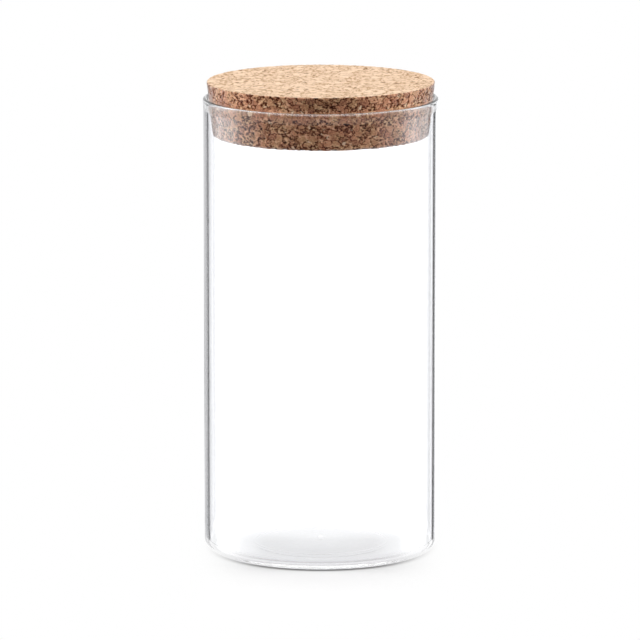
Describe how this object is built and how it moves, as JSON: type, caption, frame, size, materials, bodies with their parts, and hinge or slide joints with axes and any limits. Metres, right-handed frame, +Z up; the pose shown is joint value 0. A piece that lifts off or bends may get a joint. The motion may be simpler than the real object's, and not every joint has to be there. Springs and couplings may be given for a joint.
{
  "type": "glass jar with cork lid",
  "caption": "Tall straight-sided clear glass storage jar with a fire-polished lip, closed by a tapered cork stopper lid that lifts out.",
  "frame": {"origin": "centre of the jar's base, on the surface it stands on", "axes": "+Z up the jar's axis, towards the lid; the jar is round, so +X and +Y are free"},
  "size_m": [0.0954, 0.0954, 0.1925],
  "materials": {
    "clear_glass": "gloss",
    "cork": "matte"
  },
  "bodies": {
    "jar": {"glass_jar": "clear_glass"},
    "lid": {"cork_lid": "cork"}
  },
  "joints": [
    {"name": "lid_lift", "type": "slide", "parent": "jar", "child": "lid", "axis": [0, 0, 1], "range_m": [0, 0.11]}
  ]
}
